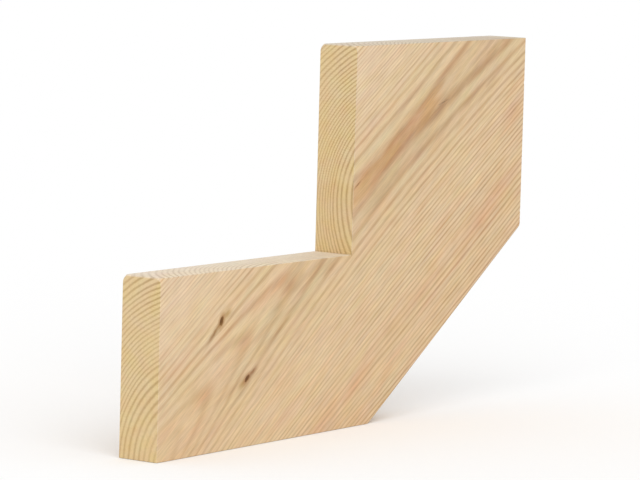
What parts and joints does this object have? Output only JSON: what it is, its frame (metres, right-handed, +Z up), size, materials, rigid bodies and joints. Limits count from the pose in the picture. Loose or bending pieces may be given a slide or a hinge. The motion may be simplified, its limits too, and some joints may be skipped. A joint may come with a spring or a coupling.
{
  "type": "stair stringer",
  "caption": "Cut stair stringer sawn from a pine framing board, with level tread seats, plumb riser faces, a floor foot and a plumb rear face that bears on a header.",
  "frame": {"origin": "on the floor plane, under the middle of the total run and at mid thickness of the board", "axes": "+X from the first riser in under the stair, +Y across the board's thickness, +Z up"},
  "size_m": [0.5206, 0.0382, 0.3207],
  "materials": {
    "treated_pine": "planed broad faces and milled edges, sawn plumb and level cuts, no coating"
  },
  "bodies": {
    "root": {"stringer": "treated_pine"}
  },
  "joints": []
}
